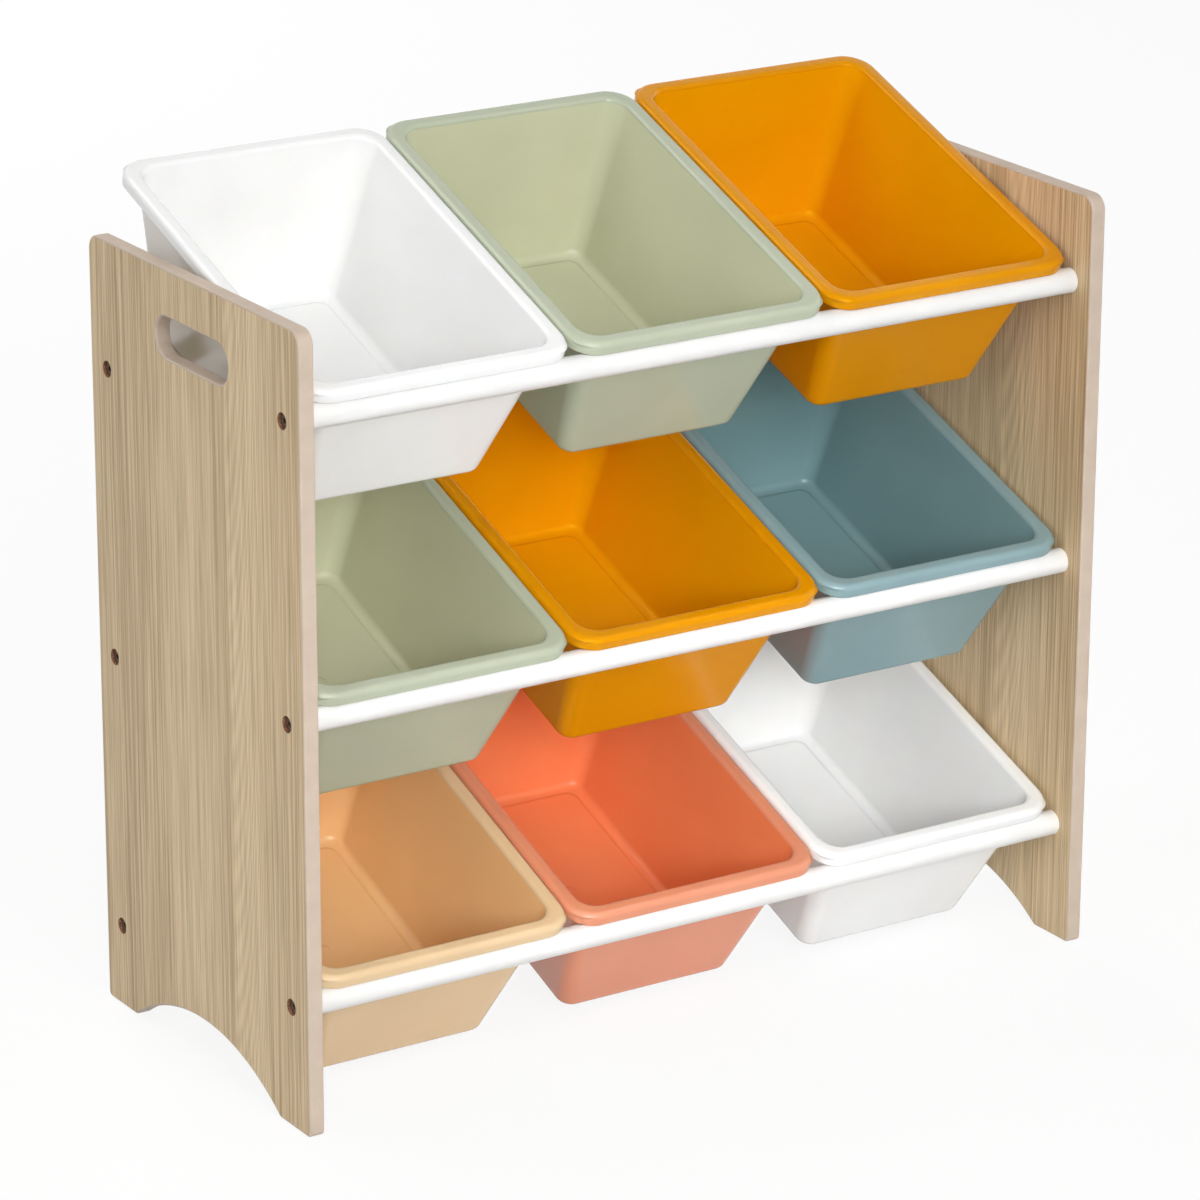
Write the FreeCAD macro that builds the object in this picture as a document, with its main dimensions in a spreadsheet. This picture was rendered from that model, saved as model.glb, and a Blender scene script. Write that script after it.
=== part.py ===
import FreeCAD, Part
import os
import math
import Sketcher

# Storage rack: two board panels, six round rails between them and nine moulded
# bins that hang tilted on the rails. Millimetres, +Z up, X across the rack, front
# at -Y. The origin is on the ground, midway between the panels and mid-depth.

doc = FreeCAD.newDocument("bin_rack")

# Driving dimensions

sheet = doc.addObject("Spreadsheet::Sheet", "sizes")
DIMENSIONS = {
    # bins
    "rim_width": "215.2",        # across the rim, outside
    "rim_length": "296",         # front to back along the rim, outside
    "bin_depth": "124.5",        # rim top to underside
    "wall_draft": "11",          # degrees, all four walls
    "wall_thick": "2.2",
    "floor_thick": "2.2",
    "rim_overhang": "9.4",       # rim edge to the outer wall face, at the rim's top
    "rim_thick": "3",            # plastic over the hollow under the rim
    "rim_corner": "22",          # plan radius of the rim's corners
    "rim_bevel": "3",            # easing of the rim's top outer edge
    "lip_depth": "10",           # how far the rim turns down
    "lip_thick": "2",
    "tub_corner": "13",          # radius of the upright corners, outside
    "base_round": "8",           # rounding between outer walls and underside
    "floor_channel": "8",        # channel between inner walls and raised floor panel
    "floor_step": "1.2",         # height of the raised floor panel
    # how the bins sit
    "bin_tilt": "20.3",          # degrees, front rim lower than the rear rim
    "rest_inset": "30",          # rear rail axis to the rear edge of the underside
    "seat_gap": "0.3",           # between a bin and its rails
    "rim_gap": "1.2",            # between neighbouring rims
    "side_gap": "4",             # between an outer rim and its panel
    "ground_gap": "6",           # under the lowest bins
    # rails
    "rail_diameter": "19",
    "tier_pitch_low": "211.5",   # bottom tier to middle tier
    "tier_pitch_high": "218.5",  # middle tier to top tier
    # panels
    "board": "12",
    "rail_setback": "24",        # rail axis to the panel's front or rear edge
    "top_margin": "68",          # top front rail axis to the panel's top edge
    "top_corner": "12",
    "foot_corner": "6",
    "foot_length": "43",
    "arch_rise": "34",
    "handle_length": "104",
    "handle_height": "30",
    "handle_drop": "50",         # panel top to the slot's centre line
    # screws
    "shank_diameter": "5",
    "screw_length": "42",        # under the head
    "head_diameter": "11",
    "head_height": "2.5",
    "head_gap": "0.75",          # head to the wall of its recess
    "recess_depth": "4.5",
    "screw_sides": "10",         # sides of the many-sided head and shank
}
for row, (alias, value) in enumerate(DIMENSIONS.items(), start=1):
    sheet.set(f"A{row}", alias)
    sheet.set(f"B{row}", value)
    sheet.setAlias(f"B{row}", alias)

# Values that follow from them

fits = doc.addObject("App::VarSet", "fits")


def derive(name, expression):
    """A named value worked out from the sheet and from values derived before it."""
    fits.addProperty("App::PropertyFloat", name)
    fits.setExpression(name, expression)


derive("wall_slope", "tan(sizes.wall_draft)")
derive("rail_reach", "sizes.rail_diameter / 2 + sizes.seat_gap")

# A front rail lies in the corner between the lip's lower edge and the front wall.
# In the bin's own frame (v to the rear along the rim, w up from the rim's top) the
# rail's axis is rail_reach away from both.
derive("front_w", "-(sizes.lip_depth + fits.rail_reach)")
derive("front_v", "sizes.rim_overhang - fits.front_w * fits.wall_slope"
       " - fits.rail_reach / cos(sizes.wall_draft)")

# The underside rests on the rear rail.
derive("base_inset", "sizes.rim_overhang + sizes.bin_depth * fits.wall_slope")
derive("rear_v", "sizes.rim_length - fits.base_inset - sizes.rest_inset")
derive("rear_w", "-(sizes.bin_depth + fits.rail_reach)")
derive("span_v", "fits.rear_v - fits.front_v")
derive("span_w", "fits.rear_w - fits.front_w")
derive("rail_span", "fits.span_v * cos(sizes.bin_tilt) - fits.span_w * sin(sizes.bin_tilt)")
derive("rail_fall", "-(fits.span_v * sin(sizes.bin_tilt) + fits.span_w * cos(sizes.bin_tilt))")

# From a front rail's axis to the front edge of the rim it carries.
derive("rim_ahead", "fits.front_v * cos(sizes.bin_tilt) - fits.front_w * sin(sizes.bin_tilt)")
derive("rim_rise", "-(fits.front_v * sin(sizes.bin_tilt) + fits.front_w * cos(sizes.bin_tilt))")

# The lowest point of a tilted bin is on the rounding along its front lower edge.
derive("keel_v", "sizes.rim_overhang + (sizes.bin_depth - sizes.base_round) * fits.wall_slope"
       " + sizes.base_round / cos(sizes.wall_draft)")
derive("keel_drop", "(sizes.bin_depth - sizes.base_round) * cos(sizes.bin_tilt)"
       " - fits.keel_v * sin(sizes.bin_tilt) + sizes.base_round")

derive("front_y", "-fits.rail_span / 2")
derive("rear_y", "fits.rail_span / 2")
derive("bottom_z", "sizes.ground_gap + fits.keel_drop - fits.rim_rise")
derive("middle_z", "fits.bottom_z + sizes.tier_pitch_low")
derive("top_z", "fits.middle_z + sizes.tier_pitch_high")

derive("bin_pitch", "sizes.rim_width + sizes.rim_gap")
derive("clear_width", "2 * fits.bin_pitch + sizes.rim_width + 2 * sizes.side_gap")
derive("panel_depth", "fits.rail_span + 2 * sizes.rail_setback")
derive("panel_height", "fits.top_z + sizes.top_margin")
derive("core_inset", "sizes.rim_overhang + sizes.wall_thick / cos(sizes.wall_draft)")
derive("core_depth", "sizes.bin_depth - sizes.floor_thick")
derive("arch_half", "fits.panel_depth / 2 - sizes.foot_length")
derive("arch_radius", "(fits.arch_half^2 + sizes.arch_rise^2) / (2 * sizes.arch_rise)")
derive("recess_radius", "sizes.head_diameter / 2 + sizes.head_gap")
derive("head_seat", "fits.clear_width / 2 + sizes.board - sizes.recess_depth")
doc.recompute()


# Sketching

def point(x, y):
    return FreeCAD.Vector(x, y, 0)


def value_of(expression):
    """The expression's present value, which starts a sketch close to its solution."""
    return float(fits.evalExpression(expression))


def origin_plane(body, role):
    return next(f for f in body.Origin.OriginFeatures if f.Role == role)


def new_sketch(body, name, plane, height="0"):
    """A sketch on one of the body's own origin planes, lifted off it by height."""
    sketch = body.newObject("Sketcher::SketchObject", name)
    sketch.AttachmentSupport = [(origin_plane(body, plane), "")]
    sketch.MapMode = "FlatFace"
    sketch.setExpression("AttachmentOffset.Base.z", height)
    return sketch


def dimension(sketch, expression, kind, *where):
    """A dimensional constraint that follows an expression."""
    index = sketch.addConstraint(Sketcher.Constraint(kind, *where, value_of(expression)))
    sketch.setExpression(f"Constraints[{index}]", expression)


def pin(sketch, geometry, end, x, y):
    """Holds a point at (x, y). An expression that starts with a minus sign is measured
    from the point to the origin, so that the dimension itself stays positive."""
    for kind, expression in (("DistanceX", x), ("DistanceY", y)):
        if expression.startswith("-"):
            dimension(sketch, expression[1:], kind, geometry, end, -1, 1)
        else:
            dimension(sketch, expression, kind, -1, 1, geometry, end)


def join(sketch, geometries):
    """Joins each of a loop of lines and arcs to the next where their ends meet."""
    for a, b in zip(geometries, geometries[1:] + geometries[:1]):
        i, j = next((i, j) for i in (1, 2) for j in (1, 2)
                    if sketch.getPoint(a, i).isEqual(sketch.getPoint(b, j), 1e-6))
        sketch.addConstraint(Sketcher.Constraint("Coincident", a, i, b, j))


def polygon(sketch, corners, arc_centre=None, arc_radius=None):
    """Closed outline through corners given as (x, y) expressions. With arc_centre, the side
    from the last corner back to the first is an arc about that point instead of a line."""
    spots = [point(value_of(x), value_of(y)) for x, y in corners]
    sides = list(zip(spots, spots[1:] + spots[:1]))
    closing = sides.pop() if arc_centre else None
    loop = [sketch.addGeometry(Part.LineSegment(start, end), False) for start, end in sides]
    if closing:
        centre = point(*(value_of(e) for e in arc_centre))
        middle = centre + ((closing[0] + closing[1]) / 2 - centre).normalize() * value_of(arc_radius)
        loop.append(sketch.addGeometry(Part.Arc(closing[0], middle, closing[1]), False))
    join(sketch, loop)
    for geometry, corner in zip(loop, corners):
        if not closing or geometry != loop[-1]:
            pin(sketch, geometry, 1, *corner)
    if closing:
        pin(sketch, loop[-2], 2, *corners[-1])
        dimension(sketch, arc_radius, "Radius", loop[-1])


def rounded_rectangle(sketch, half_width, front, rear, radius):
    """Rectangle symmetric about the sketch's vertical axis, corners rounded."""
    x, y0, y1, r = (value_of(e) for e in (half_width, front, rear, radius))
    corners = [(x - r, y0 + r), (x - r, y1 - r), (r - x, y1 - r), (r - x, y0 + r)]
    sides = [(r - x, y0, x - r, y0), (x, y0 + r, x, y1 - r),
             (x - r, y1, r - x, y1), (-x, y1 - r, -x, y0 + r)]
    line, arc = [], []
    for i, ((ax, ay, bx, by), centre) in enumerate(zip(sides, corners)):
        line.append(sketch.addGeometry(Part.LineSegment(point(ax, ay), point(bx, by)), False))
        circle = Part.Circle(point(*centre), FreeCAD.Vector(0, 0, 1), r)
        start = math.pi / 2 * (i - 1)
        arc.append(sketch.addGeometry(Part.ArcOfCircle(circle, start, start + math.pi / 2), False))
    for i in range(4):
        sketch.addConstraint(Sketcher.Constraint("Tangent", line[i], 2, arc[i], 1))
        sketch.addConstraint(Sketcher.Constraint("Tangent", arc[i], 2, line[(i + 1) % 4], 1))
        sketch.addConstraint(Sketcher.Constraint("Horizontal" if i % 2 == 0 else "Vertical", line[i]))
    for i in range(1, 4):
        sketch.addConstraint(Sketcher.Constraint("Equal", arc[0], arc[i]))
    dimension(sketch, radius, "Radius", arc[0])
    dimension(sketch, half_width, "DistanceX", -1, 1, line[1], 1)
    dimension(sketch, half_width, "DistanceX", line[3], 1, -1, 1)
    dimension(sketch, front, "DistanceY", -1, 1, line[0], 1)
    dimension(sketch, rear, "DistanceY", -1, 1, line[2], 1)


def stadium(sketch, length, height, middle):
    """Slot with round ends, level, centred on the sketch's vertical axis at the height middle."""
    long, tall, y = (value_of(e) for e in (length, height, middle))
    x, r = (long - tall) / 2, tall / 2
    lines, ends = [], []
    for side in (-1, 1):
        edge = Part.LineSegment(point(-x, y + side * r), point(x, y + side * r))
        lines.append(sketch.addGeometry(edge, False))
        circle = Part.Circle(point(side * x, y), FreeCAD.Vector(0, 0, 1), r)
        start = math.pi / 2 * -side
        ends.append(sketch.addGeometry(Part.ArcOfCircle(circle, start, start + math.pi), False))
    (lower, upper), (left, right) = lines, ends
    for line, line_end, arc, arc_end in ((lower, 2, right, 1), (upper, 2, right, 2),
                                         (upper, 1, left, 1), (lower, 1, left, 2)):
        sketch.addConstraint(Sketcher.Constraint("Tangent", line, line_end, arc, arc_end))
    sketch.addConstraint(Sketcher.Constraint("Horizontal", lower))
    sketch.addConstraint(Sketcher.Constraint("Symmetric", left, 3, right, 3, -2))
    dimension(sketch, f"{height} / 2", "Radius", left)
    pin(sketch, right, 3, f"({length} - {height}) / 2", middle)


def many_sided(sketch, count, radius):
    """Regular polygon about the origin, its corners on a circle of the given radius."""
    r = value_of(radius)
    guide = sketch.addGeometry(Part.Circle(point(0, 0), FreeCAD.Vector(0, 0, 1), r), True)
    sketch.addConstraint(Sketcher.Constraint("Coincident", guide, 3, -1, 1))
    dimension(sketch, radius, "Radius", guide)
    turn = 2 * math.pi / count
    spots = [point(r * math.cos(turn * i), r * math.sin(turn * i)) for i in range(count)]
    sides = [sketch.addGeometry(Part.LineSegment(a, b), False)
             for a, b in zip(spots, spots[1:] + spots[:1])]
    join(sketch, sides)
    for side in sides:
        sketch.addConstraint(Sketcher.Constraint("PointOnObject", side, 1, guide))
    for side in sides[1:]:
        sketch.addConstraint(Sketcher.Constraint("Equal", sides[0], side))
    sketch.addConstraint(Sketcher.Constraint("PointOnObject", sides[0], 1, -1))


# Features

def extrude(body, kind, name, sketch, length=None, reverse=False):
    """A pad or pocket; without a length it goes right through, both ways from the sketch."""
    feature = body.newObject(f"PartDesign::{kind}", name)
    feature.Profile = sketch
    feature.Reversed = reverse
    if length is None:
        feature.Type = "ThroughAll"
        feature.Midplane = True
    else:
        feature.setExpression("Length", length)
    return feature


def revolve(body, name, sketch):
    feature = body.newObject("PartDesign::Revolution", name)
    feature.Profile = sketch
    feature.ReferenceAxis = (sketch, ["H_Axis"])
    feature.Angle = 360
    return feature


def dress(body, kind, name, base, size_name, size, wanted):
    """A fillet or chamfer on the edges, or a draft on the faces, of base that wanted accepts."""
    doc.recompute()
    word, shapes = ("Face", base.Shape.Faces) if kind == "Draft" else ("Edge", base.Shape.Edges)
    feature = body.newObject(f"PartDesign::{kind}", name)
    chosen = [f"{word}{i}" for i, shape in enumerate(shapes, start=1) if wanted(shape.BoundBox)]
    feature.Base = (base, chosen)
    feature.setExpression(size_name, size)
    return feature


def combine(body, kind, name, tool):
    """Joins another body to this one, or cuts it out."""
    feature = body.newObject("PartDesign::Boolean", name)
    feature.setObjects([tool])
    feature.Type = kind
    return feature


def place(body, x, y, z, tilt="0"):
    body.setExpression("Placement", f"create(<<placement>>; create(<<vector>>; {x}; {y}; {z});"
                       f" create(<<rotation>>; create(<<vector>>; 1; 0; 0); {tilt}))")


def copy_of(master, label, *where):
    """A further piece of the same make as master, in its own place."""
    body = doc.addObject("PartDesign::Body", label)
    base = doc.addObject("PartDesign::FeatureBase", f"{label}_make")
    base.BaseFeature = master
    body.Group = [base]
    body.Tip = base
    place(body, *where)
    return body


# Side panels

def make_panel(label, outward):
    """One board, outward -1 for the left and 1 for the right. Its sketches stand on the
    inner face and the board lies outside it."""
    body = doc.addObject("PartDesign::Body", label)
    half, tall, foot = "fits.panel_depth / 2", "fits.panel_height", "fits.arch_half"

    # feet to either side of an arch, whose centre lies below the ground
    shape = new_sketch(body, f"{label}_shape", "YZ_Plane")
    corners = [(foot, "0"), (half, "0"), (half, tall),
               (f"-{half}", tall), (f"-{half}", "0"), (f"-{foot}", "0")]
    polygon(shape, corners, ("0", "-(fits.arch_radius - sizes.arch_rise)"), "fits.arch_radius")
    board = extrude(body, "Pad", f"{label}_board", shape, "sizes.board", reverse=outward < 0)
    middle = value_of(tall) / 2
    thick = value_of("sizes.board")
    board = dress(body, "Fillet", f"{label}_top_corners", board, "Radius", "sizes.top_corner",
                  lambda box: box.XLength > thick / 2 and box.Center.z > middle)
    dress(body, "Fillet", f"{label}_foot_corners", board, "Radius", "sizes.foot_corner",
          lambda box: box.XLength > thick / 2 and box.ZMax < 1e-4)

    slot = new_sketch(body, f"{label}_handle_shape", "YZ_Plane")
    stadium(slot, "sizes.handle_length", "sizes.handle_height", "fits.panel_height - sizes.handle_drop")
    extrude(body, "Pocket", f"{label}_handle", slot)

    recesses = new_sketch(body, f"{label}_recess_shapes", "YZ_Plane", f"{outward} * sizes.board")
    for tier in ("bottom", "middle", "top"):
        for y, z in (("-fits.rear_y", f"fits.{tier}_z"), ("fits.rear_y", f"fits.{tier}_z - fits.rail_fall")):
            centre = point(value_of(y), value_of(z))
            circle = Part.Circle(centre, FreeCAD.Vector(0, 0, 1), value_of("fits.recess_radius"))
            hole = recesses.addGeometry(circle, False)
            dimension(recesses, "fits.recess_radius", "Radius", hole)
            pin(recesses, hole, 3, y, z)
    extrude(body, "Pocket", f"{label}_recesses", recesses, "sizes.recess_depth", reverse=outward < 0)
    place(body, f"{outward} * fits.clear_width / 2", "0", "0")
    return body


# Rails and their screws

def make_rail():
    """Round rod that fits between the panels."""
    body = doc.addObject("PartDesign::Body", "rail")
    section = new_sketch(body, "rail_section", "XY_Plane")
    end, radius = "fits.clear_width / 2", "sizes.rail_diameter / 2"
    polygon(section, [(f"-{end}", "0"), (end, "0"), (end, radius), (f"-{end}", radius)])
    revolve(body, "rail_rod", section)
    return body


def make_screws():
    """The two screws of one rail, one through each panel, without threads and as many-sided
    as their small size needs."""
    body = doc.addObject("PartDesign::Body", "screws")
    body.AllowCompound = True
    sides = int(value_of("sizes.screw_sides"))
    halves = []
    for name, radius, length, inward in (("head", "sizes.head_diameter / 2", "sizes.head_height", False),
                                         ("shank", "sizes.shank_diameter / 2", "sizes.screw_length", True)):
        section = new_sketch(body, f"screw_{name}_section", "YZ_Plane", "fits.head_seat")
        many_sided(section, sides, radius)
        halves.append(extrude(body, "Pad", f"screw_{name}", section, length, reverse=inward))
    doc.recompute()
    pair = body.newObject("PartDesign::Mirrored", "screw_pair")
    pair.Originals = halves
    pair.MirrorPlane = (origin_plane(body, "YZ_Plane"), [""])
    body.Tip = pair
    return body


# Bins, each in its own frame: X across, Y to the rear along the rim, rim top at Z = 0

def make_tub(label, inset, depth, corner, lower_round):
    """Drafted box with rounded upright corners and rounded lower edges, open side at Z = 0."""
    body = doc.addObject("PartDesign::Body", label)
    half, rear = f"(sizes.rim_width / 2 - ({inset}))", f"(sizes.rim_length - ({inset}))"
    mouth = new_sketch(body, f"{label}_mouth", "XY_Plane")
    polygon(mouth, [(f"-{half}", inset), (half, inset), (half, rear), (f"-{half}", rear)])
    box = extrude(body, "Pad", f"{label}_box", mouth, depth, reverse=True)
    deep = value_of(depth)
    walls = dress(body, "Draft", f"{label}_draft", box, "Angle", "sizes.wall_draft",
                  lambda face: face.ZLength > deep / 2)
    walls.NeutralPlane = (origin_plane(body, "XY_Plane"), [""])
    walls.Reversed = True
    dress(body, "Fillet", f"{label}_corners", walls, "Radius", corner,
          lambda edge: edge.ZLength > deep / 2)

    # the lower edges: what lies outside a round that is tangent to the wall and to the underside
    tangent = f"({lower_round}) * (1 - sin(sizes.wall_draft)) / cos(sizes.wall_draft)"
    wall_side = f"({tangent} - ({lower_round}) * cos(sizes.wall_draft))"
    wall_top = f"({lower_round}) * (1 - sin(sizes.wall_draft))"
    outside = f"{wall_side} - ({lower_round})"
    shrink = f"({depth}) * fits.wall_slope"

    def height(up):
        return f"-({depth} - ({up}))"

    edges = {
        "sides": ("XZ_Plane", (lambda d: f"({half} - {shrink} - ({d}))",
                               lambda d: f"-({half} - {shrink} - ({d}))")),
        "ends": ("YZ_Plane", (lambda d: f"({inset} + {shrink} + {d})",
                              lambda d: f"({rear} - {shrink} - ({d}))")),
    }
    for name, (plane, pair) in edges.items():
        sketch = new_sketch(body, f"{label}_{name}_shape", plane)
        for inward in pair:
            corners = [(inward(tangent), height("0")),
                       (inward(tangent), height(f"-({lower_round})")),
                       (inward(outside), height(f"-({lower_round})")),
                       (inward(outside), height(wall_top)),
                       (inward(wall_side), height(wall_top))]
            polygon(sketch, corners, (inward(tangent), height(lower_round)), lower_round)
        extrude(body, "Pocket", f"{label}_{name}", sketch)
    return body


def make_bin():
    """Moulded tub with a rim that turns down all round and is hollow underneath."""
    tub = make_tub("tub", "sizes.rim_overhang", "sizes.bin_depth", "sizes.tub_corner", "sizes.base_round")
    core = make_tub("core", "fits.core_inset", "fits.core_depth",
                    "sizes.tub_corner - sizes.wall_thick", "sizes.base_round - sizes.wall_thick")
    body = doc.addObject("PartDesign::Body", "bin")

    def plan(name, height, inset, radius):
        sketch = new_sketch(body, name, "XY_Plane", height)
        rounded_rectangle(sketch, f"sizes.rim_width / 2 - ({inset})", inset,
                          f"sizes.rim_length - ({inset})", radius)
        return sketch

    outline = plan("rim_plan", "-sizes.lip_depth", "0", "sizes.rim_corner")
    rim = extrude(body, "Pad", "rim", outline, "sizes.lip_depth")
    dress(body, "Chamfer", "rim_edge", rim, "Size", "sizes.rim_bevel", lambda edge: edge.ZMin > -1e-4)
    inner_corner = "sizes.rim_corner - sizes.lip_thick"
    hollow = plan("rim_hollow_plan", "-sizes.lip_depth", "sizes.lip_thick", inner_corner)
    extrude(body, "Pocket", "rim_hollow", hollow, "sizes.lip_depth - sizes.rim_thick", reverse=True)
    doc.recompute()
    combine(body, "Fuse", "walls", tub)
    combine(body, "Cut", "inside", core)

    # raised floor panel inside, with a matching recess underneath
    def floor_plan(name, height, margin):
        sketch = new_sketch(body, name, "XY_Plane", height)
        inset = f"(fits.core_inset + fits.core_depth * fits.wall_slope + {margin})"
        half, rear = f"(sizes.rim_width / 2 - {inset})", f"(sizes.rim_length - {inset})"
        polygon(sketch, [(f"-{half}", inset), (half, inset), (half, rear), (f"-{half}", rear)])
        return sketch

    panel = floor_plan("floor_panel_plan", "-fits.core_depth", "sizes.floor_channel")
    extrude(body, "Pad", "floor_panel", panel, "sizes.floor_step")
    recess_margin = "sizes.floor_channel + sizes.wall_thick"
    recess = floor_plan("floor_recess_plan", "-sizes.bin_depth", recess_margin)
    extrude(body, "Pocket", "floor_recess", recess, "sizes.floor_step", reverse=True)
    return body


# The rack: one of each make, then its copies in their places

rail, screws, moulded_bin = make_rail(), make_screws(), make_bin()
pieces = [make_panel("side_panel_left", -1), make_panel("side_panel_right", 1)]
for tier in ("top", "middle", "bottom"):
    front_z = f"fits.{tier}_z"
    rear_z = f"{front_z} - fits.rail_fall"
    for row, y, z in (("front", "fits.front_y", front_z), ("rear", "fits.rear_y", rear_z)):
        pieces.append(copy_of(rail, f"{row}_rail_{tier}", "0", y, z))
        pieces.append(copy_of(screws, f"{row}_rail_{tier}_screws", "0", y, z))
    for column, side in ((-1, "left"), (0, "centre"), (1, "right")):
        where = (f"{column} * fits.bin_pitch", "fits.front_y - fits.rim_ahead", f"{front_z} + fits.rim_rise")
        pieces.append(copy_of(moulded_bin, f"bin_{tier}_{side}", *where, "sizes.bin_tilt"))
doc.recompute()

# Checks, then one file per piece

for item in doc.Objects:
    if "Invalid" in item.State or "Error" in item.State:
        raise RuntimeError(f"{item.Label} failed: {item.getStatusString()}")
for piece in pieces:
    wanted = 2 if piece.Label.endswith("_screws") else 1
    if piece.Shape.isNull() or not piece.Shape.isValid() or len(piece.Shape.Solids) != wanted:
        raise RuntimeError(f"{piece.Label} is not {wanted} sound solid(s)")

os.makedirs("parts", exist_ok=True)
for piece in pieces:
    piece.Shape.exportStep(f"parts/{piece.Label}.step")
    print(piece.Label, round(piece.Shape.Volume / 1000, 1), "cm3")
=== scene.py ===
import math
import bmesh
import bpy
from mathutils import Matrix, Vector


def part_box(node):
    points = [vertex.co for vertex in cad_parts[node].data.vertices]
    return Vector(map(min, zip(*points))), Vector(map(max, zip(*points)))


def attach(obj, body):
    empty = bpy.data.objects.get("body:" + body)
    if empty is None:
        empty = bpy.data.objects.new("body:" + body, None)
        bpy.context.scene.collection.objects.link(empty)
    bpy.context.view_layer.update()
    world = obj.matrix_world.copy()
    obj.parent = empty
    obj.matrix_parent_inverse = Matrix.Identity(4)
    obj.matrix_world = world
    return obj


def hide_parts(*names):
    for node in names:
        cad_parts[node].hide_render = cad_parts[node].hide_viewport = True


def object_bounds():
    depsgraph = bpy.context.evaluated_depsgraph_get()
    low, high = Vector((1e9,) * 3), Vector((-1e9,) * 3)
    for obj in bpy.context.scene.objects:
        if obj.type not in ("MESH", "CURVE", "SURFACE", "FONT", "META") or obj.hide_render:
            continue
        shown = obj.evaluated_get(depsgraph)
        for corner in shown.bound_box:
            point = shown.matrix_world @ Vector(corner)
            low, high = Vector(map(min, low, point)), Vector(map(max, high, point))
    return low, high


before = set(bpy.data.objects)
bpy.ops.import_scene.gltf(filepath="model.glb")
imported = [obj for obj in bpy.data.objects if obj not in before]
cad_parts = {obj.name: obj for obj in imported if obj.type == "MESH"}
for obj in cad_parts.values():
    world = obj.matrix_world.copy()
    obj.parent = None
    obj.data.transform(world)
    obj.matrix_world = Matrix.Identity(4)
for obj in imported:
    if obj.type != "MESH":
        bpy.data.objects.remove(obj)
cad_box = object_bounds()
scene = bpy.context.scene

# Side panels
# Two boards of pressed wood fibre, cut to an arch between the feet and to a slot for the
# hand. A printed wood-grain foil faces both sides; the cut edges are eased and painted.

panel_low, panel_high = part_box("side_panel_left")
board = panel_high.x - panel_low.x
panel_rear = panel_high.y
panel_top = panel_high.z
edge_ease = 0.0016
foot_length = 0.043
arch_rise = 0.034
foot_corner = 0.004
top_corner = 0.012
handle_length = 0.104
handle_height = 0.030
handle_drop = 0.050
recess_radius = 0.00625
recess_depth = 0.0045
recess_sides = 40


def arc(centre, radius, start, end, step=6):
    """Points along an arc between two angles in degrees, both ends included."""
    count = max(2, math.ceil(abs(end - start) / step))
    turns = [math.radians(start + (end - start) * i / count) for i in range(count + 1)]
    return [(centre[0] + radius * math.cos(t), centre[1] + radius * math.sin(t)) for t in turns]


def panel_outline():
    """The board's edge in (y, z): the rear half from the arch's crown up, then its mirror image."""
    arch_half = panel_rear - foot_length
    arch_radius = (arch_half ** 2 + arch_rise ** 2) / (2 * arch_rise)
    arch_centre = arch_rise - arch_radius
    corner_y = math.sqrt((arch_radius + foot_corner) ** 2 - (foot_corner - arch_centre) ** 2)
    meeting = math.degrees(math.atan2(foot_corner - arch_centre, corner_y))
    half = arc((0, arch_centre), arch_radius, 90, meeting, step=1.5)
    half += arc((corner_y, foot_corner), foot_corner, meeting + 180, 270, step=8)
    half += arc((panel_rear - foot_corner, foot_corner), foot_corner, 270, 360, step=8)
    half += arc((panel_rear - top_corner, panel_top - top_corner), top_corner, 0, 90)
    return half + [(-y, z) for y, z in reversed(half[1:])]


def handle_outline():
    """The hand slot's edge in (y, z), round at both ends and run the other way round."""
    end = (handle_length - handle_height) / 2
    height = panel_top - handle_drop
    slot = arc((end, height), handle_height / 2, -90, 90)
    slot += arc((-end, height), handle_height / 2, 90, 270)
    return slot[::-1]


def keep_mesh(maker):
    """The finished mesh of an object with modifiers or a curve. The object itself is thrown away."""
    bpy.context.view_layer.update()
    finished = maker.evaluated_get(bpy.context.evaluated_depsgraph_get())
    made = bpy.data.meshes.new_from_object(finished)
    bpy.data.objects.remove(maker)
    return made


crisp_angle = math.radians(40)


def show(name, mesh, *finishes):
    """Puts a mesh into the scene, smooth over its curves and crisp at its edges."""
    piece = bpy.data.objects.new(name, mesh)
    scene.collection.objects.link(piece)
    for finish in finishes:
        mesh.materials.append(finish)
    mesh.shade_smooth()
    mesh.set_sharp_from_angle(angle=crisp_angle)
    weights = piece.modifiers.new("flat_faces_first", "WEIGHTED_NORMAL")
    weights.keep_sharp = True
    return piece


def skin(name, rings):
    """A closed mesh through rings of points, each joined to the next, with both ends filled."""
    count = len(rings[0])
    faces = []
    for i in range(len(rings) - 1):
        for j in range(count):
            k = (j + 1) % count
            faces.append((i * count + j, i * count + k, (i + 1) * count + k, (i + 1) * count + j))
    faces.append(tuple(range(count)))
    faces.append(tuple(range((len(rings) - 1) * count, len(rings) * count)))
    mesh = bpy.data.meshes.new(name)
    mesh.from_pydata([point for ring in rings for point in ring], [], faces)
    work = bmesh.new()
    work.from_mesh(mesh)
    bmesh.ops.recalc_face_normals(work, faces=work.faces)
    work.to_mesh(mesh)
    work.free()
    return mesh


def turned_ring(x, radius, centre, sides):
    """A ring about an axis along X. The radius may depend on the angle."""
    ring = []
    for turn in [2 * math.pi * i / sides for i in range(sides)]:
        reach = radius(turn) if callable(radius) else radius
        ring.append(Vector((x, centre.y + reach * math.cos(turn), centre.z + reach * math.sin(turn))))
    return ring


rail_names = [f"{row}_rail_{tier}" for tier in ("top", "middle", "bottom") for row in ("front", "rear")]
rail_axes = {name: (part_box(name)[0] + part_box(name)[1]) / 2 for name in rail_names}
foil_faces, painted_faces, bare_faces = range(3)


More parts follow.
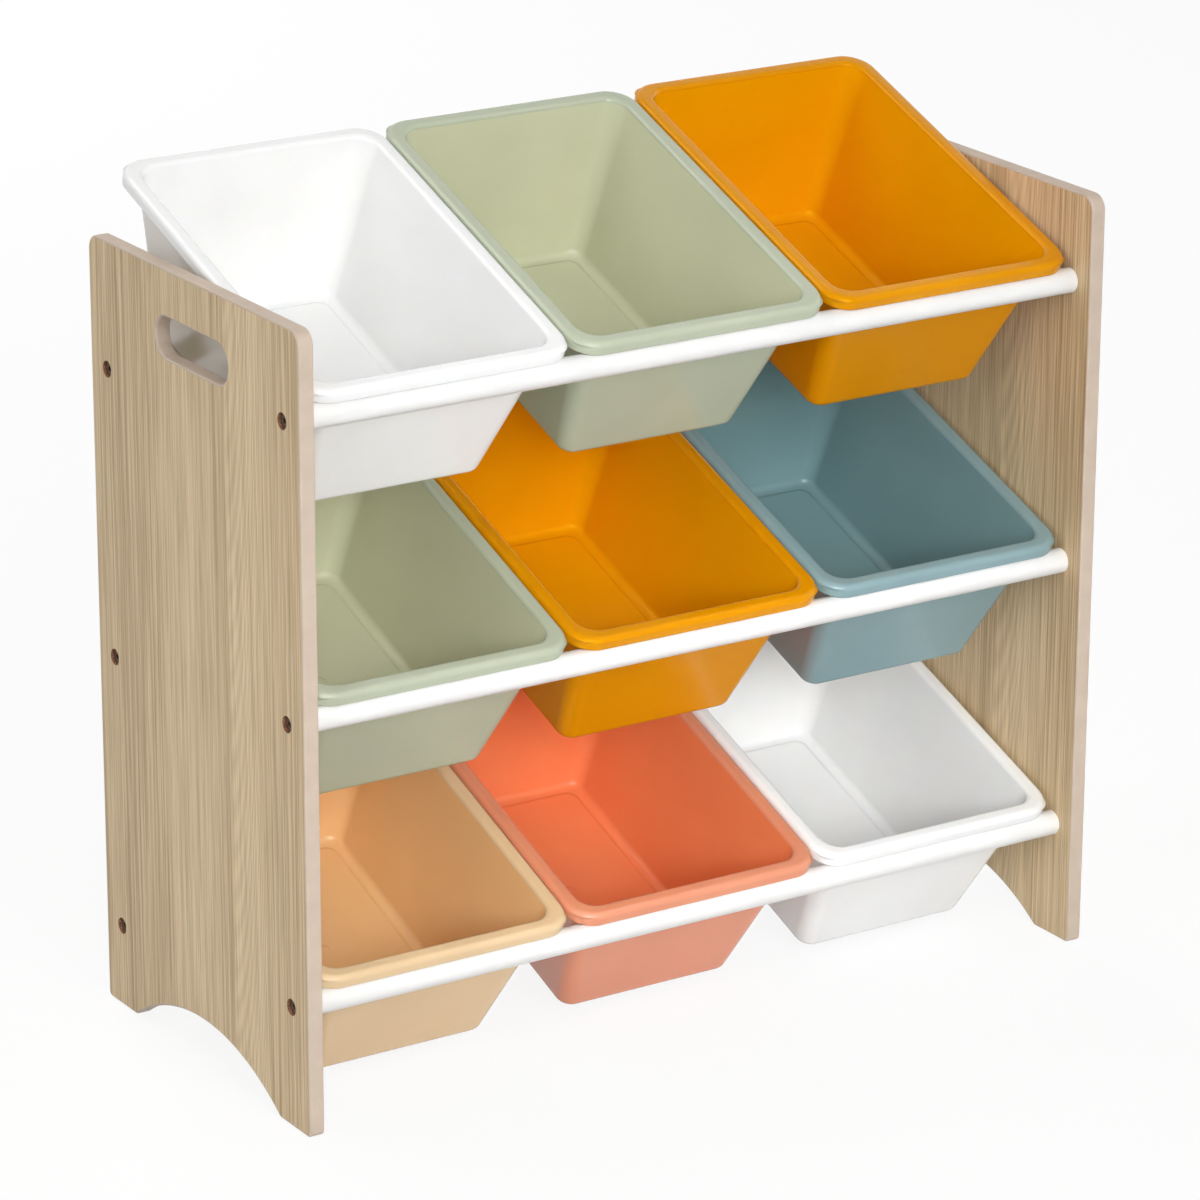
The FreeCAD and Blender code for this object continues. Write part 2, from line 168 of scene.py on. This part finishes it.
def panel_mesh(side, outward):
    """One board: its outline drawn with eased edges, stood upright and drilled for the screws."""
    curve = bpy.data.curves.new(f"{side}_outline", "CURVE")
    curve.dimensions = "2D"
    curve.fill_mode = "BOTH"
    curve.extrude = board / 2 - edge_ease
    curve.bevel_depth = edge_ease
    curve.bevel_resolution = 3
    curve.offset = -edge_ease
    for outline in (panel_outline(), handle_outline()):
        spline = curve.splines.new("POLY")
        spline.points.add(len(outline) - 1)
        for point, (y, z) in zip(spline.points, outline):
            point.co = (y, z, 0, 1)
        spline.use_cyclic_u = True
    drawn = bpy.data.objects.new(f"{side}_drawn", curve)
    scene.collection.objects.link(drawn)
    mesh = keep_mesh(drawn)
    upright = Matrix(((0, 0, 1, 0), (1, 0, 0, 0), (0, 1, 0, 0), (0, 0, 0, 1)))
    middle = outward * (panel_high.x + panel_low.x) / -2
    mesh.transform(Matrix.Translation((middle, 0, 0)) @ upright)

    solid = bpy.data.objects.new(f"{side}_solid", mesh)
    scene.collection.objects.link(solid)
    face_x = middle + outward * board / 2
    drills = []
    for name, axis in rail_axes.items():
        ends = (face_x - outward * recess_depth, face_x + outward * recess_depth)
        rings = [turned_ring(x, recess_radius, axis, recess_sides) for x in ends]
        drill = bpy.data.objects.new(f"{side}_{name}_drill", skin(f"{side}_{name}_drill", rings))
        scene.collection.objects.link(drill)
        cut = solid.modifiers.new(name, "BOOLEAN")
        cut.operation = "DIFFERENCE"
        cut.object = drill
        drills.append(drill)
    mesh = keep_mesh(solid)
    for drill in drills:
        bpy.data.objects.remove(drill)

    recess_reach = recess_radius * 1.01
    below_face = 1e-5
    flat = 0.99
    for face in mesh.polygons:
        x, y, z = face.center
        in_recess = any(math.hypot(y - a.y, z - a.z) < recess_reach for a in rail_axes.values())
        if in_recess and abs(x - face_x) > below_face and outward * (x - middle) > 0:
            face.material_index = bare_faces
        elif abs(face.normal.x) > flat:
            face.material_index = foil_faces
        else:
            face.material_index = painted_faces
    return mesh


class Socket:
    """One socket of a finish. Sums and products of sockets and numbers add the nodes they stand for."""

    def __init__(self, tree, socket):
        self.tree = tree
        self.socket = socket

    def node(self, kind, settings, inputs, output=0):
        """Adds a node, sets it up, feeds its inputs and gives one of its outputs."""
        made = self.tree.nodes.new(f"ShaderNode{kind}")
        for name, value in settings.items():
            if name == "stops":
                while len(made.color_ramp.elements) < len(value):
                    made.color_ramp.elements.new(1)
                for element, (place, shade) in zip(made.color_ramp.elements, value):
                    element.position = place
                    element.color = (shade, shade, shade, 1)
            else:
                setattr(made, name, value)
        for key, value in inputs.items():
            self.feed(made, key, value)
        return Socket(self.tree, self.pick(made.outputs, output))

    def feed(self, made, key, value):
        into = self.pick(made.inputs, key)
        if isinstance(value, Socket):
            self.tree.links.new(value.socket, into)
        else:
            into.default_value = value

    @staticmethod
    def pick(sockets, key):
        if isinstance(key, int):
            return sockets[key]
        return next(s for s in sockets if key in (s.identifier, s.name))

    def math(self, operation, *values):
        return self.node("Math", {"operation": operation}, dict(enumerate(values)))

    def __add__(self, other):
        return self.math("ADD", self, other)

    def __sub__(self, other):
        return self.math("SUBTRACT", self, other)

    def __rsub__(self, other):
        return self.math("SUBTRACT", other, self)

    def __mul__(self, other):
        return self.math("MULTIPLY", self, other)

    __radd__ = __add__
    __rmul__ = __mul__

    def part(self, letter):
        """The X, Y or Z of a vector."""
        return self.node("SeparateXYZ", {}, {"Vector": self}, letter)

    def stretched(self, *factors):
        """A vector multiplied part by part."""
        return self.node("VectorMath", {"operation": "MULTIPLY"}, {0: self, 1: factors})

    def noise(self, detail, roughness=0.5):
        """Noise over this vector, at one cell per unit, about 0.5."""
        return self.node("TexNoise", {},
                         {"Vector": self, "Scale": 1, "Detail": detail, "Roughness": roughness})

    def between(self, low, high):
        """Rises smoothly from 0 at low to 1 at high."""
        return self.node("MapRange", {"interpolation_type": "SMOOTHSTEP"},
                         {"Value": self, "From Min": low, "From Max": high})

    def mix(self, first, second):
        """Colour that goes from first to second as this value goes from 0 to 1."""
        return self.node("Mix", {"data_type": "RGBA"},
                         {"Factor_Float": self, "A_Color": first, "B_Color": second}, "Result_Color")

    def bump(self, depth):
        """A surface raised by depth, in metres, where this value is 1."""
        return self.node("Bump", {}, {"Height": self, "Strength": 1, "Distance": depth}, "Normal")


def colour(red, green, blue):
    """A colour given as it looks on a screen, 0 to 255, as the light it stands for."""
    shares = [c / 255 for c in (red, green, blue)]
    return tuple(c / 12.92 if c <= 0.04045 else ((c + 0.055) / 1.055) ** 2.4 for c in shares) + (1,)


def new_finish(name):
    """An empty finish and the place of a point on the piece, in the piece's own frame."""
    finish = bpy.data.materials.new(name)
    finish.use_nodes = True
    coordinates = finish.node_tree.nodes.new("ShaderNodeTexCoord")
    return finish, Socket(finish.node_tree, coordinates.outputs["Object"])


def coat(finish, inputs):
    """Feeds the finish's surface."""
    surface = finish.node_tree.nodes["Principled BSDF"]
    for key, value in inputs.items():
        Socket(finish.node_tree, None).feed(surface, key, value)


def wood_foil():
    """Oak-like print with upright grain: toned strips, dark growth lines, fibres and nested points."""
    finish, place = new_finish("wood_foil")
    across, up = place.part("Y"), place.part("Z")
    sway = place.stretched(9, 6, 1.3).noise(2) - 0.5
    sway_reach = 0.012
    drift = across + sway * sway_reach
    depth_share = drift * (0.5 / panel_rear) + 0.5
    strip_tones = [(0.0, 0.62), (0.17, 0.66), (0.34, 0.66), (0.36, 0.46), (0.39, 0.48), (0.42, 0.70),
                   (0.64, 0.74), (0.69, 0.54), (0.88, 0.46), (0.91, 0.72), (1.0, 0.66)]
    strip_lines = [(0.0, 0.85), (0.16, 0.75), (0.20, 0.30), (0.34, 0.35), (0.36, 0.85), (0.40, 0.85),
                   (0.43, 0.38), (0.64, 0.38), (0.68, 1.0), (0.89, 1.0), (0.93, 0.6), (1.0, 0.7)]
    strips = depth_share.node("ValToRGB", {"stops": strip_tones}, {"Fac": depth_share})
    crowded = depth_share.node("ValToRGB", {"stops": strip_lines}, {"Fac": depth_share})
    fibres = place.stretched(31, 560, 11).noise(3, 0.6)
    growth = place.stretched(37, 260, 0.6).noise(2, 0.6) - 0.5
    lines = (1 - growth.math("ABSOLUTE", growth).between(0.0, 0.07)) * crowded
    patches = place.stretched(11, 30, 2.5).noise(2)
    heart_forward = 0.045
    point_steepness = 110
    points_per_metre = 190
    point_wander = 36
    heart = drift + heart_forward
    climb = (up - heart * heart * point_steepness) * points_per_metre + sway * point_wander
    points = heart.math("SINE", climb) * 0.5 + 0.5
    beside_heart = heart.between(-0.060, -0.040) * (1 - heart.between(-0.004, 0.002))
    tone = strips * 0.3 + fibres * 1.15 + patches * 0.2 - lines * 0.32
    tone = tone + points * beside_heart * 0.15 - 0.32
    light, dark = colour(235, 212, 173), colour(169, 141, 102)
    coat(finish, {
        "Base Color": tone.between(0.0, 1.0).mix(dark, light),
        "Roughness": 0.44 + fibres * 0.14,
        "Normal": (fibres * 0.7 + lines * 0.3).bump(0.0001),
    })
    return finish


def edge_paint():
    """Pinkish beige paint over the sanded edge, a little uneven where the fibres drank it."""
    finish, place = new_finish("edge_paint")
    clouds = place.stretched(60, 60, 60).noise(3)
    grain = place.stretched(900, 900, 900).noise(2)
    deep, pale = colour(188, 170, 154), colour(199, 182, 165)
    coat(finish, {
        "Base Color": (clouds * 0.7 + grain * 0.3).between(0.2, 0.8).mix(deep, pale),
        "Roughness": 0.5 + grain * 0.15,
        "Normal": grain.bump(0.00008),
    })
    return finish


def raw_board():
    """Bare pressed fibre inside the drilled recesses."""
    finish, place = new_finish("raw_board")
    crumbs = place.stretched(1500, 1500, 1500).noise(4, 0.7)
    coat(finish, {
        "Base Color": crumbs.between(0.3, 0.7).mix(colour(120, 78, 54), colour(172, 122, 92)),
        "Roughness": 0.9,
        "Normal": crumbs.bump(0.0003),
    })
    return finish


panel_finishes = [wood_foil(), edge_paint(), raw_board()]
for side, outward in (("left", -1), ("right", 1)):
    panel = show(f"panel_{side}", panel_mesh(side, outward), *panel_finishes)
    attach(panel, "frame")
    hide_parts(f"side_panel_{side}")

# Rails
# Six round rods, painted white, which run from panel to panel. The front ones carry the
# bins' rims and the lower rear ones their undersides.

rail_ease = 0.0006
rail_sides = 72


def rail_mesh(name):
    """A rod between the panels, with eased ends."""
    low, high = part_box(name)
    axis = rail_axes[name]
    radius = (high.z - low.z) / 2
    stations = [(low.x, radius - rail_ease), (low.x + rail_ease, radius),
                (high.x - rail_ease, radius), (high.x, radius - rail_ease)]
    return skin(name, [turned_ring(x, r, axis, rail_sides) for x, r in stations])


def white_paint():
    """Satin white paint, faintly uneven along the rod."""
    finish, place = new_finish("white_paint")
    runs = place.stretched(25, 120, 120).noise(2)
    specks = place.stretched(700, 700, 700).noise(2)
    coat(finish, {
        "Base Color": runs.between(0.25, 0.75).mix(colour(226, 226, 225), colour(233, 233, 232)),
        "Roughness": 0.32 + specks * 0.12,
        "Normal": (runs * 0.8 + specks * 0.2).bump(0.00006),
    })
    return finish


rail_finish = white_paint()
for name in rail_names:
    rail = show(f"rod_{name}", rail_mesh(name), rail_finish)
    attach(rail, "frame")
    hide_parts(name)

# Screws
# One dark steel screw through each panel into each end of a rail. Its flat round head has
# a six-sided socket and sits below the face of the board.

head_radius = 0.0055
head_height = 0.0025
head_dome = 0.0006
socket_half = 0.0017
socket_depth = 0.0016
dome_step = head_dome * 0.3
dome_radius = head_radius * 0.93
flat_radius = head_radius * 0.80
socket_flare = 1.06
shank_radius = 0.0025
point_radius = shank_radius * 0.25
point_length = shank_radius * 2
screw_length = 0.042
screw_sides = 36


def six_sided(turn):
    """Radius of the socket's wall, whose flats are socket_half from the axis."""
    return socket_half / math.cos((turn % (math.pi / 3)) - math.pi / 6)


def screw_mesh(name, axis, outward):
    """A screw from its point, along the shank and over the head to the bottom of the socket."""
    seat = outward * (panel_high.x + panel_low.x) / -2 + outward * (board / 2 - recess_depth)
    top = seat + outward * head_height
    stations = [(seat - outward * screw_length, point_radius),
                (seat - outward * (screw_length - point_length), shank_radius),
                (seat, shank_radius),
                (seat, head_radius),
                (top - outward * head_dome, head_radius),
                (top - outward * dome_step, dome_radius),
                (top, flat_radius),
                (top, lambda turn: six_sided(turn) * socket_flare),
                (top - outward * dome_step, six_sided),
                (top - outward * socket_depth, six_sided)]
    return skin(name, [turned_ring(x, r, axis, screw_sides) for x, r in stations])


def dark_steel():
    """Dark brownish plating, worn lighter here and there."""
    finish, place = new_finish("dark_steel")
    wear = place.stretched(900, 900, 900).noise(3, 0.6)
    coat(finish, {
        "Base Color": wear.between(0.35, 0.75).mix(colour(70, 58, 50), colour(128, 106, 90)),
        "Metallic": 0.85,
        "Roughness": 0.34 + wear * 0.2,
    })
    return finish


screw_finish = dark_steel()
for name, axis in rail_axes.items():
    for side, outward in (("left", -1), ("right", 1)):
        screw_name = f"screw_{name}_{side}"
        screw = show(screw_name, screw_mesh(screw_name, axis, outward), screw_finish)
        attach(screw, "frame")
        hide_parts(f"{name}_screws")

# Bins
# Nine tubs moulded in coloured polypropylene: drafted walls, a raised floor panel and a
# round rim that turns down. Each hangs by its rim on a front rail and rests on a rear one.

rim_width = 0.2152
rim_length = 0.296
bin_depth = 0.1245
wall_draft = math.radians(11)
wall_slope = math.tan(wall_draft)
wall_thick = 0.0022
rim_overhang = 0.0094
rim_thick = 0.003
lip_depth = 0.010
lip_thick = 0.002
rim_round = 0.0046
mouth_round = 0.004
rim_corner = 0.022
mouth_corner = 0.016
inner_corner = 0.0108
base_round = 0.008
floor_channel = 0.008
floor_step = 0.0012
step_round = 0.00035
step_half = 0.0023
step_points = 4
channel_dip = 0.0002
floor_corner_share = 0.3
least_floor_corner = 0.004
least_under_corner = 0.005
gate_radius = 0.0055
gate_height = 0.0011
gate_profile = [(1, 0), (0.82, 0.45), (0.58, 0.85), (0.28, 1)]
bin_tilt = math.radians(20.3)
seat_gap = 0.0003
corner_steps = 12
round_steps = 8
lip_steps = 6


def plan_ring(inset, height, corner):
    """Rounded rectangle in the bin's own frame, inset from the rim's outer edge."""
    x = rim_width / 2 - inset - corner
    front, rear = inset + corner, rim_length - inset - corner
    ring = []
    for i, centre in enumerate(((x, front), (x, rear), (-x, rear), (-x, front))):
        ring += arc(centre, corner, 90 * (i - 1), 90 * i, step=90 / corner_steps)
    return [Vector((px, py, height)) for px, py in ring]


def round_ring(radius, height):
    """Circle about the middle of the floor, with as many points as a rounded rectangle has."""
    count = 4 * (corner_steps + 1)
    turns = [math.radians(360 * (i + 0.5) / count - 90) for i in range(count)]
    return [Vector((radius * math.cos(t), rim_length / 2 + radius * math.sin(t), height)) for t in turns]


def section_arc(inset, height, radius, start, end, steps):
    """Part of the bin's wall section, as (inset, height) pairs."""
    return arc((inset, height), radius, start, end, step=abs(end - start) / steps)


def bin_mesh():
    """Rings from the middle of the underside, up outside, over the rim and down to the floor."""
    draft = math.degrees(wall_draft)
    lean = 1 / math.cos(wall_draft)
    mouth = rim_overhang + wall_thick * lean
    floor = -(bin_depth - wall_thick)
    round_height = base_round - bin_depth
    round_inset = rim_overhang - round_height * wall_slope + base_round * lean
    panel_edge = mouth - floor * wall_slope + floor_channel
    recess_edge = panel_edge + wall_thick
    lip_round = lip_thick / 2
    inner_round = base_round - wall_thick
    mouth_inset = mouth + mouth_round * wall_slope - mouth_round * lean

    under = [(recess_edge + step_round, floor_step - bin_depth),
             (recess_edge, floor_step - bin_depth - step_round),
             (recess_edge, -bin_depth + step_round),
             (recess_edge - step_round, -bin_depth)]
    outside = section_arc(round_inset, round_height, base_round, 270, 180 + draft, round_steps)
    outside += [(rim_overhang + rim_thick * wall_slope, -rim_thick), (lip_thick, -rim_thick)]
    lip = section_arc(lip_round, lip_round - lip_depth, lip_round, 360, 180, lip_steps)
    top = section_arc(rim_round, -rim_round, rim_round, 180, 90, round_steps)
    top += section_arc(mouth_inset, -mouth_round, mouth_round, 90, draft, round_steps)
    inside = section_arc(round_inset, round_height, inner_round, 180 + draft, 270, round_steps)
    panel = []
    for i in range(-step_points, step_points + 1):
        rise = 0.5 + 0.5 * math.sin(math.pi * i / (2 * step_points))
        inset = panel_edge + step_half * i / step_points
        panel.append((inset, floor - channel_dip + (floor_step + channel_dip) * rise))

    gate_under = floor_step - bin_depth
    gate_over = floor + floor_step
    rings = [round_ring(gate_radius * r, gate_under + gate_height * h) for r, h in reversed(gate_profile)]
    for inset, height in under + outside:
        past_round = max(inset - round_inset + base_round, 0)
        corner = max(inner_corner + wall_thick - past_round, least_under_corner)
        rings.append(plan_ring(inset, height, corner))
    for inset, height in lip + top:
        share = inset / (mouth_inset + mouth_round)
        rings.append(plan_ring(inset, height, rim_corner + (mouth_corner - rim_corner) * share))
    mouth_ring = len(rings) - 1
    round_start = round_inset - inner_round * math.cos(wall_draft)
    for inset, height in inside + panel:
        past_round = max(inset - round_start, 0)
        corner = max(inner_corner - past_round * floor_corner_share, least_floor_corner)
        rings.append(plan_ring(inset, height, corner))
    rings += [round_ring(gate_radius * r, gate_over + gate_height * h) for r, h in gate_profile]
    mesh = skin("bin", rings)
    faces_per_ring = len(rings[0])
    first_inside = mouth_ring * faces_per_ring
    underside = (len(rings) - 1) * faces_per_ring
    # Faces from the mouth down to the floor take the inside finish; its shade differs from the outside's
    # as painted light, not as a different plastic.
    for face in mesh.polygons:
        face.material_index = int(face.index >= first_inside and face.index != underside)
    return mesh


def moulded_plastic(name, shade, sheen):
    """Polypropylene with a satin moulded skin. It lets a little light through and is a little uneven."""
    finish, place = new_finish(name)
    paler = 6
    body, thin = colour(*shade), colour(*[level + paler for level in shade])
    clouds = place.stretched(14, 14, 14).noise(2)
    skin_grain = place.stretched(1100, 1100, 1100).noise(2)
    flow = place.stretched(18, 5, 26).noise(3)
    coat(finish, {
        "Base Color": (clouds * 0.6 + flow * 0.4).between(0.25, 0.75).mix(body, thin),
        "Roughness": 0.14 + skin_grain * 0.10,
        "Specular Tint": colour(*sheen),
        "Normal": skin_grain.bump(0.000015),
        "Subsurface Weight": 0.25,
        "Subsurface Radius": (1, 0.8, 0.6),
        "Subsurface Scale": 0.004,
    })
    return finish


# Painted light: each bin is one plastic, but its outside and inside get their own shades, each set to
# match how that side looks when lit, so the difference between the two tables is painted light and shade.
outside_shades_painted_light = {
    "white": (238, 238, 237),
    "sage": (178, 185, 162),
    "mustard": (215, 142, 0),
    "teal": (130, 159, 164),
    "peach": (221, 192, 151),
    "coral": (219, 142, 108),
}
inside_shades_painted_light = {
    "white": (238, 238, 237),
    "sage": (197, 199, 170),
    "mustard": (227, 158, 0),
    "teal": (122, 154, 158),
    "peach": (237, 194, 139),
    "coral": (236, 138, 90),
}
white_sheen, amber_sheen = (255, 255, 255), (255, 190, 60)
bin_finishes = {}
for tint in inside_shades_painted_light:
    sheen = amber_sheen if tint == "mustard" else white_sheen
    outside = moulded_plastic(f"{tint}_outside", outside_shades_painted_light[tint], sheen)
    inside = moulded_plastic(f"{tint}_inside", inside_shades_painted_light[tint], sheen)
    bin_finishes[tint] = (outside, inside)
bin_colours = {
    "top": ("white", "sage", "mustard"),
    "middle": ("sage", "mustard", "teal"),
    "bottom": ("peach", "coral", "white"),
}


def bin_place(tier, side):
    """Where a bin's own frame lies: the rail under its lip, less the way from the rail to the rim."""
    low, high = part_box(f"front_rail_{tier}")
    rail = rail_axes[f"front_rail_{tier}"]
    reach = (high.z - low.z) / 2 + seat_gap
    height = -(lip_depth + reach)
    along = rim_overhang - height * wall_slope - reach / math.cos(wall_draft)
    low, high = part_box(f"bin_{tier}_{side}")
    turn = Matrix.Rotation(bin_tilt, 4, "X")
    over_rail = Vector(((low.x + high.x) / 2, rail.y, rail.z))
    return Matrix.Translation(over_rail - turn @ Vector((0, along, height))) @ turn


for tier, colours in bin_colours.items():
    for side, tint in zip(("left", "centre", "right"), colours):
        hung = bin_mesh()
        hung.transform(bin_place(tier, side))
        tub = show(f"tub_{tier}_{side}", hung, *bin_finishes[tint])
        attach(tub, f"bin_{tier}_{side}")
        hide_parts(f"bin_{tier}_{side}")

# Studio
# A pale floor that keeps the shadow, a white surround and soft lamps on all sides. The front
# lamp is the main light, and the two low fills open the shadows of the lowest bins.

floor_reach = 15
floor_mesh = bpy.data.meshes.new("floor")
floor_corners = [(-floor_reach, -floor_reach, 0), (floor_reach, -floor_reach, 0),
                 (floor_reach, floor_reach, 0), (-floor_reach, floor_reach, 0)]
floor_mesh.from_pydata(floor_corners, [], [(0, 1, 2, 3)])
floor = bpy.data.objects.new("floor", floor_mesh)
scene.collection.objects.link(floor)
floor_finish, floor_place = new_finish("floor_paper")
floor_tree = floor_finish.node_tree
glow_share = 0.87


def watched(place):
    """1 where the camera looks, straight, in a mirror image or through glass, and 0 for bounced light."""
    seen, mirrored, through = [place.node("LightPath", {}, {}, f"Is {ray} Ray")
                               for ray in ("Camera", "Glossy", "Transmission")]
    return seen.math("MAXIMUM", seen, mirrored.math("MAXIMUM", mirrored, through))


paper = floor_place.node("BsdfDiffuse", {}, {"Color": (0.6, 0.6, 0.6, 1)})
white_paper = floor_place.node("BsdfDiffuse", {}, {"Color": (0.95, 0.95, 0.95, 1)})
glow = floor_place.node("Emission", {}, {"Color": (1, 1, 1, 1), "Strength": 1})
lit_paper = floor_place.node("MixShader", {}, {0: glow_share, 1: white_paper, 2: glow})
looked_at = floor_place.node("MixShader", {}, {0: watched(floor_place), 1: paper, 2: lit_paper})
floor_tree.links.new(looked_at.socket, floor_tree.nodes["Material Output"].inputs["Surface"])
floor_mesh.materials.append(floor_finish)

bounced_strength = 0.21
world = bpy.data.worlds.new("surround")
scene.world = world
world.use_nodes = True
sky = world.node_tree.nodes["Background"]
sky.inputs["Color"].default_value = (1, 1, 1, 1)
surround = Socket(world.node_tree, sky.inputs["Strength"])
surround.feed(sky, "Strength", watched(surround) * (1 - bounced_strength) + bounced_strength)


def soft_lamp(name, place, aim, size, power, spread=180, mirrored=True):
    """A square lamp that faces a point. A grid over it narrows its spread, in degrees."""
    lamp = bpy.data.lights.new(name, "AREA")
    lamp.size = size
    lamp.energy = power
    lamp.spread = math.radians(spread)
    stand = bpy.data.objects.new(name, lamp)
    stand.location = place
    stand.rotation_mode = "QUATERNION"
    stand.rotation_quaternion = (Vector(aim) - Vector(place)).to_track_quat("-Z", "Y")
    stand.visible_glossy = mirrored
    scene.collection.objects.link(stand)


object_middle = (cad_box[0] + cad_box[1]) / 2
soft_lamp("front_lamp", (-0.5, -3.5, 1.5), object_middle, 1.6, 66)
soft_lamp("upper_lamp", (-0.6, -2.6, 2.8), object_middle, 1.8, 23)
soft_lamp("side_lamp", (-3.2, -0.9, 1.5), object_middle, 2.0, 22)
soft_lamp("far_side_lamp", (3.2, -0.6, 1.5), object_middle, 2.0, 18)
soft_lamp("low_fill", (-1.0, -1.9, 0.85), (0.05, 0, 0.10), 0.7, 0.60, spread=22)
soft_lamp("low_fill_right", (-0.5, -2.1, 0.95), (0.25, 0, 0.15), 0.4, 0.05, spread=14)
soft_lamp("rear_lamp", (0.4, 4.2, 2.3), object_middle, 2.2, 95, mirrored=False)
soft_lamp("over_left", (-1.12, 0.79, 2.1), object_middle, 1.0, 9)
soft_lamp("over_right", (1.12, -1.18, 1.95), object_middle, 0.35, 2)

# Camera
# A long lens from the front left and above. Its place and angles were fitted to the panel
# edges, screw holes and bin rims in the photo.

frame_pixels = 1200
focal_pixels = 5341
azimuth = math.radians(32.73)
elevation = math.radians(19.10)
roll = math.radians(0.23)
camera_place = Vector((-2.0220, -3.1424, 1.5883))
camera = bpy.data.cameras.new("camera")
camera.sensor_width = 36
camera.lens = camera.sensor_width * focal_pixels / frame_pixels
ahead = Vector((math.sin(azimuth) * math.cos(elevation), math.cos(azimuth) * math.cos(elevation),
                -math.sin(elevation)))
right = Vector((math.cos(azimuth), -math.sin(azimuth), 0))
upward = right.cross(ahead)
rolled_right = right * math.cos(roll) + upward * math.sin(roll)
rolled_up = upward * math.cos(roll) - right * math.sin(roll)
facing = Matrix((rolled_right, rolled_up, -ahead)).transposed().to_4x4()
watcher = bpy.data.objects.new("camera", camera)
watcher.matrix_world = Matrix.Translation(camera_place) @ facing
scene.collection.objects.link(watcher)
scene.camera = watcher
scene.view_settings.view_transform = "Standard"
